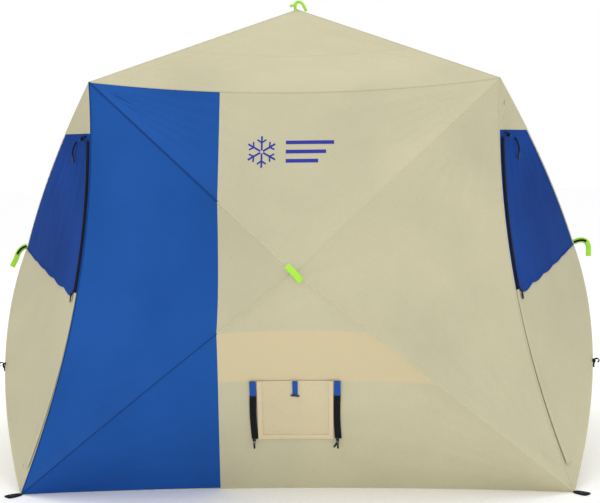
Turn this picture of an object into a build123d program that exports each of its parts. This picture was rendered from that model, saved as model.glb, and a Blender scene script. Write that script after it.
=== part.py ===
"""Pop-up ice fishing shelter: five sprung hubs with four rods each hold out a square fabric cabin.

Frame: millimetres, +Z up, the front wall faces -Y, the origin is on the ice under the roof hub.
Every wall is made facing -Y and then turned about Z. A wall is four triangular panels that meet
at its hub: top, bottom, left and right as seen from outside.
"""
import os

from build123d import *

# Driving dimensions of the erected shelter
BASE_HALF = 1025.0          # base corner to the middle, along X or Y
TOP_HALF = 780.0            # eave corner to the middle, along X or Y
EAVE_Z = 1532.0             # height of the eave corners
APEX_Z = 1874.0             # height of the roof hub's fabric
HUB_OUT = 1210.0            # wall hub's fabric to the middle
HUB_Z = 840.0               # height of a wall hub

# How far the free fabric edges draw in between their corners
EDGE_IN = 75.0              # upright edges, along X and along Y
EAVE_IN = 60.0
EAVE_DROP = 45.0
HEM_IN = 78.0

# How far the sprung rods bow out of straight
BOW_UPPER = 20.0
BOW_LOWER = 77.0
BOW_ROOF = 0.0              # the roof's rods are held straight
BOW_DIP = 0.7               # share of the bow that the fabric loses midway between two rods

FABRIC = 2.0                # stand-in thickness of the cloth
SEAM_V = 0.005              # share of a panel left free along an edge it shares with a neighbour
SEAM_T = 0.003              # share of a panel's free edge left free at each rod seam
HUB_V = 0.962               # share of the way to the hub at which the cloth ends
BLUE_X = -287.0             # seam between the blue and the beige cloth of the front wall

# Hub and rods
HUB_DEPTH = 40.0            # hub's pivot plane behind the cloth
HUB_R = 44.0
HUB_H = 18.0
PIVOT_R = 33.0
PIN_R = 2.5
PIN_FIT = 0.05              # radial clearance of a rod's eye on its pin
SLOT = 9.0                  # width of a hub's slot for a rod
EYE = 8.0                   # width of a rod's eye
ROD_R = 4.75
FERRULE_R = 6.5
FERRULE = 70.0
CAP_R = 6.5
CAP = 24.0
TIP_GAP = 62.0              # rod's tip to the corner, along the wall
TIP_DEPTH = 25.0            # rod's tip behind the plane of the wall's corners
STRAP = (22.0, 4.0, 92.0)   # width, thickness and reach of a hub's pull strap
ANCHOR_TAB = (44.0, 24.0, 6.0)
ANCHOR_TAB_X = 38.0         # middle of an anchor tab beyond its corner
ANCHOR_HOLE_R = 6.0

# Vent in the front wall, in wall X and height
VENT_HALF = 138.0
VENT_Z = (208.0, 438.0)
VENT_OPENING = (122.0, 224.0, 420.0)
VENT_OUT = 10.0             # vent flap in front of the wall
ZIP_X = 153.0
ZIP_HALF = 7.5
TAB_Z = 386.0               # where the blue webbing ends and the zip begins

# Door in a side wall's front panel, as shares of the panel
DOOR_V = (0.045, 0.5)
DOOR_T = (0.05, 0.862)
DOOR_T_INNER = 0.94         # top of the door at its fold line
DOOR_GAP_V = 0.004
DOOR_GAP_T = 0.003
DOOR_SEAM_T = 0.475         # seam between the door's blue and beige cloth
DOOR_ZIP_V = (0.018, 0.034)
DOOR_ZIP_OUT = 9.0          # zip in front of the wall
DOOR_SLIDER_OUT = 19.0
DOOR_SLIDER_T = (0.475, 0.70)   # ends of the slider's run, where the zip is nearly straight

PANEL_T = (SEAM_T, 1 - SEAM_T)
SIDES = {"front": 0, "right": 90, "back": 180, "left": 270}
UP = Vector(0, 0, 1)
INWARD = Vector(0, 1, 0)
HUB = Vector(0, -HUB_OUT, HUB_Z)
ROOF_HUB = Vector(0, 0, APEX_Z)


def wall_corner(side, level):
    half = TOP_HALF if level else BASE_HALF
    return Vector(side * half, -half, EAVE_Z * level)


NORMAL = (wall_corner(1, 0) - wall_corner(-1, 0)).cross(wall_corner(-1, 1) - wall_corner(-1, 0)).normalized()

# Panel: its two corners, how its free edge draws in, and the bow of the rod at each corner
PANELS = {
    "top": (wall_corner(-1, 1), wall_corner(1, 1), Vector(0, EAVE_IN, -EAVE_DROP), BOW_UPPER, BOW_UPPER),
    "bottom": (wall_corner(-1, 0), wall_corner(1, 0), Vector(0, HEM_IN, 0), BOW_LOWER, BOW_LOWER),
    "left": (wall_corner(-1, 0), wall_corner(-1, 1), Vector(EDGE_IN, EDGE_IN, 0), BOW_LOWER, BOW_UPPER),
    "right": (wall_corner(1, 0), wall_corner(1, 1), Vector(-EDGE_IN, EDGE_IN, 0), BOW_LOWER, BOW_UPPER),
}


def cloth_point(panel, t, v, hub=HUB, normal=NORMAL):
    """Point of a panel: t runs along its free edge, v from that edge to the hub."""
    start, end, draw, bow_start, bow_end = panel
    edge = start + (end - start) * t + draw * (4 * t * (1 - t))
    bow = (bow_start * (1 - t) + bow_end * t) * (1 - BOW_DIP * 4 * t * (1 - t))
    return edge * (1 - v) + hub * v + normal * (bow * 4 * v * (1 - v))


def vent_point(x, z, out=0.0):
    """Point of the front wall's bottom panel at a given X and height, moved outwards."""
    panel = PANELS["bottom"]
    v = z / HUB_Z
    for _ in range(12):
        t = 0.5 + x / (2 * BASE_HALF * (1 - v))
        v += (z - cloth_point(panel, t, v).Z) / HUB_Z
    return cloth_point(panel, t, v) - INWARD * out


def between(pair, share):
    return pair[0] + (pair[1] - pair[0]) * share


def sheet(point, inward, columns, rows):
    """Thin closed solid over point(a, b), with a and b from 0 to 1."""
    outer = [[point(i / columns, j / rows) for j in range(rows + 1)] for i in range(columns + 1)]
    inner = [[p + inward for p in line] for line in outer]
    faces = []
    for grid in (outer, inner):
        for i in range(columns):
            for j in range(rows):
                a, b = grid[i][j], grid[i + 1][j]
                c, d = grid[i + 1][j + 1], grid[i][j + 1]
                faces.append(Face(Wire.make_polygon([a, b, c], close=True)))
                faces.append(Face(Wire.make_polygon([a, c, d], close=True)))
    rim = [(i, 0) for i in range(columns)] + [(columns, j) for j in range(rows)]
    rim += [(i, rows) for i in range(columns, 0, -1)] + [(0, j) for j in range(rows, 0, -1)]
    for (i, j), (k, m) in zip(rim, rim[1:] + rim[:1]):
        corners = [outer[i][j], outer[k][m], inner[k][m], inner[i][j]]
        faces.append(Face(Wire.make_polygon(corners, close=True)))
    return Solid(Shell(faces))


def panel_sheet(name, v_range=None, columns=6, rows=4):
    panel = PANELS[name]
    first = 0.0 if name == "bottom" else SEAM_V
    v_range = v_range or (first, HUB_V)
    return sheet(
        lambda a, b: cloth_point(panel, between(PANEL_T, a), between(v_range, b)),
        INWARD * FABRIC, columns, rows,
    )


def door_top(v):
    return between((DOOR_T[1], DOOR_T_INNER), (v - DOOR_V[0]) / (DOOR_V[1] - DOOR_V[0]))


def door_sheet(name, low, high, gap=0.0, out=0.0, columns=4):
    """Part of a door between two lines of t, each a function of v."""
    panel = PANELS[name]
    v_range = (DOOR_V[0] + gap * DOOR_GAP_V, DOOR_V[1] - gap * DOOR_GAP_V)

    def point(a, b):
        v = between(v_range, b)
        return cloth_point(panel, between((low(v), high(v)), a), v) - INWARD * out

    return sheet(point, INWARD * FABRIC, columns, 3)


def door_wall(name):
    """A side wall's front panel around its door, as four strips."""
    outer = panel_sheet(name, v_range=(SEAM_V, DOOR_V[0]), rows=1)
    inner = panel_sheet(name, v_range=(DOOR_V[1], HUB_V), rows=2)
    below = door_sheet(name, lambda v: PANEL_T[0], lambda v: DOOR_T[0], columns=1)
    above = door_sheet(name, door_top, lambda v: PANEL_T[1], columns=1)
    return [outer, inner, below, above]


def door_halves(name):
    lower = door_sheet(name, lambda v: DOOR_T[0] + DOOR_GAP_T, lambda v: DOOR_SEAM_T - DOOR_GAP_T / 2, 1)
    upper = door_sheet(name, lambda v: DOOR_SEAM_T + DOOR_GAP_T / 2, lambda v: door_top(v) - DOOR_GAP_T, 1)
    return upper, lower


def front_sheet(x_range, z_range, out, thickness, columns=2, rows=3):
    """Flat strip or flap that lies on the front wall's bottom panel."""
    return sheet(
        lambda a, b: vent_point(between(x_range, a), between(z_range, b), out),
        INWARD * thickness, columns, rows,
    )


def bar_between(start, end, radius):
    """Round bar from one point to another."""
    plane = Plane(origin=start, z_dir=end - start)
    return plane * Cylinder(radius, (end - start).length, align=(Align.CENTER, Align.CENTER, Align.MIN))


def hub_frame(hub, normal, side_dir):
    """Plane at the hub's pivots: z points out of the wall and x along side_dir."""
    return Plane(origin=hub - normal * HUB_DEPTH, x_dir=side_dir, z_dir=normal)


def rod_places(hub, normal, corners):
    """Pivot, tip and direction of each of a hub's four rods."""
    foot = hub - normal * ((hub - corners[0]).dot(normal))
    places = []
    for corner in corners:
        along = (corner - foot).normalized()
        pivot = hub - normal * HUB_DEPTH + along * PIVOT_R
        tip = corner - along * TIP_GAP - normal * TIP_DEPTH
        places.append((pivot, tip, along))
    return places


def hub_core(plane, places):
    """Hub: a flanged disc with a slot and a cross pin's bore for every rod."""
    core = Cylinder(HUB_R, HUB_H) + Pos(0, 0, HUB_H / 2 + 2) * Cylinder(HUB_R * 0.5, 4)
    core = fillet(core.edges().filter_by(GeomType.CIRCLE).group_by(Axis.Z)[0], 2.5)
    core = plane * core
    for pivot, _, along in places:
        slot = Plane(origin=pivot, x_dir=along, z_dir=plane.z_dir)
        core -= slot * Pos(HUB_R / 2 - 6, 0, 0) * Box(HUB_R + 12, SLOT, HUB_H * 3)
        core -= bar_between(pivot - slot.y_dir * 16, pivot + slot.y_dir * 16, PIN_R)
    return core


def hub_pins(plane, places):
    pins = []
    for pivot, _, along in places:
        across = plane.z_dir.cross(along)
        pins.append(bar_between(pivot - across * 13, pivot + across * 13, PIN_R))
    return Compound(children=pins)


def pull_strap(hub, normal, side_dir):
    """Webbing tab that stands out through the cloth, with the stub that holds it to the hub."""
    plane = Plane(origin=hub, x_dir=side_dir, z_dir=normal)
    width, thickness, reach = STRAP
    stub_from = HUB_H / 2 + 4 - HUB_DEPTH
    stub = Pos(0, 0, stub_from) * Cylinder(5, 6 - stub_from, align=(Align.CENTER, Align.CENTER, Align.MIN))
    tab = Pos(0, 0, 6 + reach / 2) * Box(width, thickness, reach)
    tab = fillet(tab.edges().filter_by(Axis.Y).group_by(Axis.Z)[-1], width * 0.4)
    return plane * (stub + tab)


def rod(place, normal, bow):
    """Glass-fibre rod: an eye on the hub's pin, a ferrule, the bowed rod and a blunt cap on its tip."""
    pivot, tip, along = place
    across = normal.cross(along)
    chord = (tip - pivot).normalized()
    middle = pivot + (tip - pivot) * 0.5 + normal * bow
    near = pivot + chord * 14
    route = ThreePointArc(near, middle, tip) if bow else Line(near, tip)
    start = route @ 0
    heading = route % 0
    section = Plane(origin=start, z_dir=heading) * Circle(ROD_R)
    shaft = sweep(section, path=route)
    shaft += bar_between(tip - (route % 1) * CAP, tip, CAP_R)
    eye = bar_between(pivot - across * EYE / 2, pivot + across * EYE / 2, 7.5)
    neck = Plane(origin=pivot + heading * 12, x_dir=across, z_dir=heading) * Box(EYE, 9, 18)
    sleeve = bar_between(start + heading * 6, start + heading * FERRULE, FERRULE_R)
    body = shaft + eye + neck + sleeve
    return body - bar_between(pivot - across * 12, pivot + across * 12, PIN_R + PIN_FIT)


def group(solids):
    return Compound(children=[s for item in solids for s in item.solids()])


def turned(shape, side):
    return Rot(0, 0, SIDES[side]) * shape


def roof_panels():
    """Four roof panels: each is a triangle from an eave to the roof hub."""
    parts = []
    eave = (wall_corner(-1, 1), wall_corner(1, 1), Vector(0, EAVE_IN, -EAVE_DROP), BOW_ROOF, BOW_ROOF)
    for angle in SIDES.values():
        parts.append(Rot(0, 0, angle) * sheet(
            lambda a, b: cloth_point(eave, between(PANEL_T, a), between((SEAM_V, HUB_V), b), ROOF_HUB, UP),
            UP * -FABRIC, 6, 3,
        ))
    return parts


def add_frame(nodes):
    corners = [wall_corner(s, level) for level in (1, 0) for s in (-1, 1)]
    names = ["upper_left", "upper_right", "lower_left", "lower_right"]
    places = rod_places(HUB, NORMAL, corners)
    plane = hub_frame(HUB, NORMAL, Vector(1, 0, 0))
    core, pins = hub_core(plane, places), hub_pins(plane, places)
    strap = pull_strap(HUB, NORMAL, Vector(1, 0, 0))
    rods = [rod(p, NORMAL, BOW_UPPER if "upper" in n else BOW_LOWER) for p, n in zip(places, names)]
    for side in SIDES:
        nodes[f"{side}_hub"] = turned(core, side)
        nodes[f"{side}_hub_pins"] = turned(pins, side)
        nodes[f"{side}_pull_strap"] = turned(strap, side)
        for name, shape in zip(names, rods):
            nodes[f"{side}_rod_{name}"] = turned(shape, side)
    corners = [wall_corner(-1, 1), wall_corner(1, 1)]
    corners += [Vector(c.X, -c.Y, c.Z) for c in corners]
    places = rod_places(ROOF_HUB, UP, corners)
    plane = hub_frame(ROOF_HUB, UP, Vector(1, 0, 0))
    nodes["roof_hub"] = hub_core(plane, places)
    nodes["roof_hub_pins"] = hub_pins(plane, places)
    nodes["roof_pull_strap"] = pull_strap(ROOF_HUB, UP, Vector(1, 0, 0))
    for place, name in zip(places, ["front_left", "front_right", "back_left", "back_right"]):
        nodes[f"roof_rod_{name}"] = rod(place, UP, BOW_ROOF)


def add_cloth(nodes):
    nodes["roof_fabric"] = group(roof_panels())
    plain = [panel_sheet(name) for name in PANELS]
    nodes["back_wall_fabric"] = turned(group(plain), "back")
    half_x, low_z, high_z = VENT_OPENING
    opening = Pos(0, -BASE_HALF, (low_z + high_z) / 2) * Box(2 * half_x, BASE_HALF, high_z - low_z)
    reach = 3 * BASE_HALF
    blue_side = Pos(BLUE_X - reach / 2, 0, 0) * Box(reach, reach, reach)
    beige_side = Pos(BLUE_X + reach / 2, 0, 0) * Box(reach, reach, reach)
    blue = [s & blue_side for s, name in zip(plain, PANELS) if name != "right"]
    beige = [(s - opening if name == "bottom" else s) & beige_side for s, name in zip(plain, PANELS)]
    nodes["front_wall_blue"] = group(blue)
    nodes["front_wall_beige"] = group(beige)
    by_name = dict(zip(PANELS, plain))
    for side, front, rear in (("left", "right", "left"), ("right", "left", "right")):
        kept = [by_name["top"], by_name["bottom"], by_name[rear]]
        nodes[f"{side}_wall_fabric"] = turned(group(kept + door_wall(front)), side)
        upper, lower = door_halves(front)
        nodes[f"{side}_door_upper"] = turned(upper, side)
        nodes[f"{side}_door_lower"] = turned(lower, side)
        panel = PANELS[front]
        zip_strip = sheet(
            lambda a, b: cloth_point(panel, between(DOOR_T, a), between(DOOR_ZIP_V, b)) - INWARD * DOOR_ZIP_OUT,
            INWARD * FABRIC, 8, 1,
        )
        nodes[f"{side}_door_zip"] = turned(zip_strip, side)
        nodes[f"{side}_door_slider"] = turned(door_slider(panel), side)


def door_slider(panel):
    """Zip slider with its puller, where the blue cloth begins."""
    v = sum(DOOR_ZIP_V) / 2
    low, high = (cloth_point(panel, t, v) for t in DOOR_SLIDER_T)
    plane = Plane(origin=low - INWARD * DOOR_SLIDER_OUT, x_dir=NORMAL.cross(high - low), z_dir=high - low)
    puller = fillet(Box(10, 3, 46).edges().filter_by(Axis.Y), 3.5)
    return plane * (Box(12, 7, 16) + Pos(0, 0, -26) * puller)


def add_vent(nodes):
    nodes["vent_flap"] = front_sheet((-VENT_HALF, VENT_HALF), VENT_Z, VENT_OUT, FABRIC, 4, 3)
    half_x, low_z, high_z = VENT_OPENING
    nodes["vent_window"] = front_sheet((-half_x - 12, half_x + 12), (low_z - 12, high_z + 12), -8, 1.0, 4, 3)
    zips = [front_sheet((s * ZIP_X - ZIP_HALF, s * ZIP_X + ZIP_HALF), (VENT_Z[0], TAB_Z), 8, 3) for s in (-1, 1)]
    tabs = [front_sheet((s * ZIP_X - 8, s * ZIP_X + 8), (TAB_Z, VENT_Z[1]), 8, 3, 1, 1) for s in (-1, 1)]
    nodes["vent_zips"] = group(zips)
    nodes["vent_webbing_tabs"] = group(tabs)
    strap = front_sheet((-7, 7), (TAB_Z, VENT_Z[1] - 2), VENT_OUT + 3, 2.5, 1, 1)
    bar_at = vent_point(0, TAB_Z - 5, VENT_OUT + 5)
    toggle = bar_between(bar_at - Vector(16, 0, 0), bar_at + Vector(16, 0, 0), 4)
    nodes["vent_toggle"] = toggle
    nodes["vent_toggle_strap"] = strap
    for name, s in (("left", -1), ("right", 1)):
        low, high = vent_point(s * ZIP_X, VENT_Z[0], 17), vent_point(s * ZIP_X, TAB_Z, 17)
        plane = Plane(origin=low, x_dir=Vector(1, 0, 0), z_dir=high - low)
        puller = fillet(Box(8, 2.5, 26).edges().filter_by(Axis.Y), 3)
        nodes[f"vent_slider_{name}"] = plane * (Box(11, 6, 12) + Pos(0, 0, -17) * puller)


def add_trim(nodes):
    """Anchor tabs at the base corners and guy loops on the side walls' lower rods."""
    tabs = []
    for angle in SIDES.values():
        corner = wall_corner(-1, 0)
        place = Plane(origin=corner, x_dir=Vector(-1, -1, 0), z_dir=UP)
        tab = fillet(Box(*ANCHOR_TAB).edges().filter_by(Axis.Z), 5)
        tab -= Cylinder(ANCHOR_HOLE_R, ANCHOR_TAB[2])
        tab = place * (Pos(ANCHOR_TAB_X, 0, ANCHOR_TAB[2] / 2) * tab)
        tabs.append(Rot(0, 0, angle) * tab)
    nodes["anchor_tabs"] = group(tabs)
    loops = []
    for side in ("left", "right"):
        for name in ("left", "right"):
            spot = cloth_point(PANELS[name], 0.0, 0.47)
            place = Plane(origin=spot, x_dir=Vector(1, 0, 0), z_dir=NORMAL)
            ring = Pos(0, 0, 16) * Rot(90, 0, 0) * Torus(10, 2.5)
            loops.append(turned(place * ring, side))
    nodes["guy_loops"] = group(loops)


def main():
    nodes = {}
    add_cloth(nodes)
    add_vent(nodes)
    add_frame(nodes)
    add_trim(nodes)
    os.makedirs("parts", exist_ok=True)
    for name, shape in nodes.items():
        export_step(shape, f"parts/{name}.step")
    print(len(nodes), "nodes")


main()
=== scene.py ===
"""Looks of the pop-up ice fishing shelter, in metres, in the CAD model's frame.

Every wall is made facing -Y and turned about Z. Its cloth is four panels that meet at the hub.
t runs along a panel's free edge and v from that edge to the hub.
"""
import math
from collections import namedtuple
from contextlib import contextmanager

import bmesh
import bpy
import numpy as np
from mathutils import Matrix, Vector, noise


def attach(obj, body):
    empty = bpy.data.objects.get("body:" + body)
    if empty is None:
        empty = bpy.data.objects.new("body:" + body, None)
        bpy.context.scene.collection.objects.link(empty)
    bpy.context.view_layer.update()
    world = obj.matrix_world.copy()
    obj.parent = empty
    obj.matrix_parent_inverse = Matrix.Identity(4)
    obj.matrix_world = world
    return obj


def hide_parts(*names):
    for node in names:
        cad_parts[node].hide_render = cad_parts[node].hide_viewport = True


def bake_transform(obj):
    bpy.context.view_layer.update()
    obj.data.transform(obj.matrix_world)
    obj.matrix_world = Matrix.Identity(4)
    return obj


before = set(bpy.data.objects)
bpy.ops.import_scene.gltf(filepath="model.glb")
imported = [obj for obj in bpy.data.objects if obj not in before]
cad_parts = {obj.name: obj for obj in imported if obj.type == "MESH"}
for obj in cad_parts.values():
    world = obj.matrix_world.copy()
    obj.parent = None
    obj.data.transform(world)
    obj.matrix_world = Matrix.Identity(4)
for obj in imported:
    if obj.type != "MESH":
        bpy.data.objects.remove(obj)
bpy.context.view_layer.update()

# The erected cabin, as in the CAD model
BASE_HALF, TOP_HALF, EAVE_Z, APEX_Z = 1.025, 0.780, 1.532, 1.874
HUB_OUT, HUB_Z = 1.210, 0.840
EDGE_IN, EAVE_IN, EAVE_DROP, HEM_IN = 0.075, 0.060, 0.045, 0.078
BOW_UPPER, BOW_LOWER, BOW_DIP = 0.020, 0.077, 0.7
BLUE_X, BLUE_MID = -0.287, -0.267   # blue cloth's seam at the eave and hem, and at the hub's height
CLOTH = 0.0012              # thickness
DRIFT, FOLD, FINE, PUCKER = 0.0065, 0.0052, 0.0020, 0.0011   # heights of the cloth's unevenness
STITCH = 0.0045             # length of a stitch with its gap
LEAST_FILL = 0.32           # the smallest share of its flat rectangle that a sheet fills
SHARP = math.radians(50)    # thin cloth's rims don't shade its face

# Vent in the front wall
VENT_HALF, VENT_LOW, VENT_TOP = 0.138, 0.208, 0.438
VENT_OPENING = (0.122, 0.224, 0.420)
VENT_OUT, ZIP_X, TAB_Z = 0.010, 0.153, 0.386

# Side doors, as shares of a side wall's front panel
DOOR_V = (0.045, 0.5)
DOOR_T, DOOR_TOP, DOOR_TOP_INNER = 0.05, 0.862, 0.94
DOOR_SEAM_T = 0.475
DOOR_ZIP_V = 0.026
DOOR_GAP = 0.0004           # between the door and the cloth around it
DOOR_SLIDER_T = (0.475, 0.70)
BAND_Z = 1.337              # height of the lower edge of the beige band under the eaves
ROOF_SEAM_V = 0.41          # the roof's ring seam, on the way from the eave to the hub
ROOF_SEED = 20              # the roof's unevenness, which the ring seam follows

TURN = {"front": 0, "right": 90, "back": 180, "left": 270}


def arr(*xyz):
    return np.array(xyz, float)


def unit(v):
    return v / np.linalg.norm(v)


def wall_corner(side, level):
    half = TOP_HALF if level else BASE_HALF
    return arr(side * half, -half, EAVE_Z * level)


HUB, ROOF_HUB, UP = arr(0, -HUB_OUT, HUB_Z), arr(0, 0, APEX_Z), arr(0, 0, 1)
NORMAL = unit(np.cross(wall_corner(1, 0) - wall_corner(-1, 0), wall_corner(-1, 1) - wall_corner(-1, 0)))
DRAW_TOP = arr(0, EAVE_IN, -EAVE_DROP)

# Panel: its two corners, the draw of its free edge, the rods' bow at each corner, hub and normal
Panel = namedtuple("Panel", "start end draw bow_start bow_end hub normal")
low_left, low_right, top_left, top_right = (wall_corner(x, level) for level in (0, 1) for x in (-1, 1))
UPRIGHT = (BOW_LOWER, BOW_UPPER, HUB, NORMAL)
PANELS = {
    "top": Panel(top_left, top_right, DRAW_TOP, BOW_UPPER, BOW_UPPER, HUB, NORMAL),
    "bottom": Panel(low_left, low_right, arr(0, HEM_IN, 0), BOW_LOWER, BOW_LOWER, HUB, NORMAL),
    "left": Panel(low_left, top_left, arr(EDGE_IN, EDGE_IN, 0), *UPRIGHT),
    "right": Panel(low_right, top_right, arr(-EDGE_IN, EDGE_IN, 0), *UPRIGHT),
    "roof": Panel(top_left, top_right, DRAW_TOP, 0.0, 0.0, ROOF_HUB, UP),
}


def cloth_point(panel, t, v):
    """Point of the taut cloth."""
    start, end, draw, bow_start, bow_end, hub, normal = panel
    edge = start + (end - start) * t + draw * (4 * t * (1 - t))
    bow = (bow_start * (1 - t) + bow_end * t) * (1 - BOW_DIP * 4 * t * (1 - t))
    return edge * (1 - v) + hub * v + normal * (bow * 4 * v * (1 - v))


def smooth(x):
    x = min(max(x, 0.0), 1.0)
    return x * x * (3 - 2 * x)


def ripple(panel, t, v, seed):
    """How far the cloth stands off its taut shape: soft drift and tension folds from the corners."""
    span = np.linalg.norm(panel.end - panel.start)
    p = cloth_point(panel, t, v)
    to_rod = min(t, 1 - t) * span * (1 - v)
    to_edge = v * 0.8
    hold = smooth(to_rod / 0.07) * smooth(to_edge / 0.06) * smooth((1 - v) / 0.12)
    q = Vector(p * 2.3) + Vector((seed * 3.1, seed * 1.7, 0))
    drift = DRIFT * noise.noise(q)
    folds = 0.0
    for corner, angle in ((panel.start, t), (panel.end, 1 - t)):
        reach = np.linalg.norm(p - corner)
        spread = math.atan2(v * 0.8, angle * span * (1 - v) + 1e-6)
        wave = math.sin(spread * 26 + 5 * noise.noise(q * 0.9) + seed)
        folds += FOLD * wave * math.exp(-reach / 0.34) * smooth(reach / 0.12)
    fine = FINE * noise.noise(Vector((p[0] * 7, p[1] * 7, p[2] * 21)) + Vector((seed, 0, 0)))
    along = v * 1.15 + 0.02 * noise.noise(q * 2)
    pucker = PUCKER * math.sin(2 * math.pi * along / 0.043) * math.exp(-to_rod / 0.05)
    pucker *= smooth(to_rod / 0.012)
    pull = PUCKER * math.sin((t - 0.5) * 23 + 2 * noise.noise(q) + seed) * smooth((v - 0.66) / 0.2)
    pull *= (1 - v) / 0.2
    return hold * (drift + folds + fine + pull) + pucker * smooth(to_edge / 0.06) * smooth((1 - v) / 0.08)


def cloth(panel, t, v, seed):
    """Point of the cloth with its unevenness."""
    return cloth_point(panel, t, v) + panel.normal * ripple(panel, t, v, seed)


# Meshes

def add_object(name, mesh, material, smooth_faces=True):
    mesh.materials.append(material)
    if smooth_faces:
        mesh.shade_smooth()
    obj = bpy.data.objects.new(name, mesh)
    bpy.context.scene.collection.objects.link(obj)
    return obj


def add_mesh(name, verts, faces, material):
    mesh = bpy.data.meshes.new(name)
    mesh.from_pydata([tuple(p) for p in verts], [], faces)
    mesh.validate()
    return add_object(name, mesh, material)


def from_bmesh(bm, name, material, smooth_faces=True):
    """Object made from a bmesh, which is freed."""
    bmesh.ops.recalc_face_normals(bm, faces=bm.faces[:])
    mesh = bpy.data.meshes.new(name)
    bm.to_mesh(mesh)
    bm.free()
    return add_object(name, mesh, material, smooth_faces)


@contextmanager
def editing(mesh):
    """The mesh as a bmesh, written back afterwards."""
    bm = bmesh.new()
    bm.from_mesh(mesh)
    yield bm
    bm.to_mesh(mesh)
    bm.free()


def belong(obj, body, slot, *nodes):
    """Attaches a piece to its body and hides the CAD nodes that it stands for; the slot is not used."""
    if body:
        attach(obj, body)
    if nodes:
        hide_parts(*nodes)


def apply_modifiers(obj):
    bpy.context.view_layer.update()
    deps = bpy.context.evaluated_depsgraph_get()
    mesh = bpy.data.meshes.new_from_object(obj.evaluated_get(deps))
    obj.modifiers.clear()
    old = obj.data
    obj.data = mesh
    bpy.data.meshes.remove(old)
    return obj


def grid_faces(columns, rows):
    faces = []
    for i in range(columns):
        for j in range(rows):
            a = i * (rows + 1) + j
            faces.append((a, a + rows + 1, a + rows + 2, a + 1))
    return faces


def tube_faces(count, ring):
    """Faces of a tube of count rings, with a cap on each end."""
    faces = []
    for i in range(count - 1):
        for k in range(ring):
            a, b = i * ring + k, i * ring + (k + 1) % ring
            faces.append((a, b, b + ring, a + ring))
    return faces + [tuple(range(ring)), tuple(range((count - 1) * ring, count * ring))[::-1]]


def sweep(name, points, facing, profile, material):
    """Closed tube along points, its profile drawn across the line and towards facing."""
    verts, last = [], len(points) - 1
    for i, p in enumerate(points):
        ahead = unit(points[min(i + 1, last)] - points[max(i - 1, 0)])
        out = unit(facing - ahead * facing.dot(ahead))
        across = np.cross(ahead, out)
        verts += [p + across * x + out * z for x, z in profile]
    return add_mesh(name, verts, tube_faces(len(points), len(profile)), material)


def distances(points):
    """How far along the line each point is."""
    return np.concatenate(([0.0], np.cumsum([np.linalg.norm(b - a) for a, b in zip(points, points[1:])])))


def spaced(low, high, count):
    return [low + (high - low) * i / count for i in range(count + 1)]


def turned(points, side):
    if not TURN[side]:
        return [arr(*p) for p in points]
    turn = Matrix.Rotation(math.radians(TURN[side]), 3, "Z")
    return [arr(*(turn @ Vector(p))) for p in points]


def turn_point(p, side):
    return turned([p], side)[0]


def follow_hub(obj, panel, away):
    """Bakes a piece's placement into its mesh."""
    away = away - panel.normal * away.dot(panel.normal)
    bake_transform(obj)


def bend_with_hub(obj, panel):
    """Works out the way from the cloth's free edge to its hub and bakes the cloth's placement into its mesh.
    """
    along = unit(panel.end - panel.start)
    away = panel.hub - panel.start
    follow_hub(obj, panel, away - along * away.dot(along))


def declare_sheet(obj):
    """Works out the cut of a panel: as long and wide as its taut shape, with that shape's area; the result is
    not kept.
    """
    area = sum(f.area for f in obj.data.polygons)
    points = np.array([v.co for v in obj.data.vertices])
    centred = points - points.mean(0)
    axes = np.linalg.svd(centred, full_matrices=False)[2]
    sizes = np.ptp(centred @ axes.T, axis=0)
    width, length = float(sizes[0]), float(max(sizes[1], area / sizes[0]))
    length = min(length, area / width / LEAST_FILL)


def thicken(obj, thickness=CLOTH):
    solid = obj.modifiers.new("cloth", "SOLIDIFY")
    solid.thickness = thickness
    solid.offset = -1
    apply_modifiers(obj)
    obj.data.set_sharp_from_angle(angle=SHARP)


def facing_out(obj):
    """Turns the faces so that they look away from the middle of the cabin."""
    mesh, centre = obj.data, Vector((0, 0, 0.7))
    if sum((f.center - centre).dot(f.normal) * f.area for f in mesh.polygons) < 0:
        mesh.flip_normals()


def cut(obj, planes):
    """Splits the mesh along planes, each a point and a normal."""
    with editing(obj.data) as bm:
        for point, normal in planes:
            everything = bm.verts[:] + bm.edges[:] + bm.faces[:]
            bmesh.ops.bisect_plane(bm, geom=everything, plane_co=point, plane_no=normal, dist=1e-6)


def keep_faces(obj, test):
    with editing(obj.data) as bm:
        gone = [f for f in bm.faces if not test(f.calc_center_median())]
        bmesh.ops.delete(bm, geom=gone, context="FACES")


def panel_mesh(name, panel, material, columns, rows, seed):
    points = [cloth(panel, a, b, seed) for a in spaced(0, 1, columns) for b in spaced(0, 1, rows)]
    return add_mesh(name, points, grid_faces(columns, rows), material)


def finish_sheet(obj, side, panel, slot, nodes=(), body=None):
    """Turns a taut panel to its side and thickens it into a sheet, whose placement is baked into its mesh if
    it has no body.
    """
    mesh = obj.data
    mesh.transform(Matrix.Rotation(math.radians(TURN[side]), 4, "Z"))
    facing_out(obj)
    with editing(mesh) as bm:
        bmesh.ops.remove_doubles(bm, verts=bm.verts[:], dist=1e-5)
    mesh.shade_smooth()
    declare_sheet(obj)
    thicken(obj)
    if not body:
        bend_with_hub(obj, panel)
    belong(obj, body, slot, *nodes)


# Materials

def new_material(name):
    mat = bpy.data.materials.new(name)
    mat.use_nodes = True
    return mat, mat.node_tree, mat.node_tree.nodes["Principled BSDF"]


def connect(tree, node, inputs):
    """Gives each input a value or another node's socket."""
    for key, value in inputs.items():
        if isinstance(value, bpy.types.NodeSocket):
            tree.links.new(value, node.inputs[key])
        else:
            node.inputs[key].default_value = value


def add_node(tree, kind, inputs, **settings):
    node = tree.nodes.new("ShaderNode" + kind)
    for name, value in settings.items():
        setattr(node, name, value)
    connect(tree, node, inputs)
    return node


def maths(tree, operation, *values):
    return add_node(tree, "Math", dict(enumerate(values)), operation=operation).outputs[0]


def mixed(tree, share, first, second, blend="MIX"):
    inputs = {"Factor": share, "A": first, "B": second}
    return add_node(tree, "Mix", inputs, data_type="RGBA", blend_type=blend).outputs["Result"]


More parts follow.
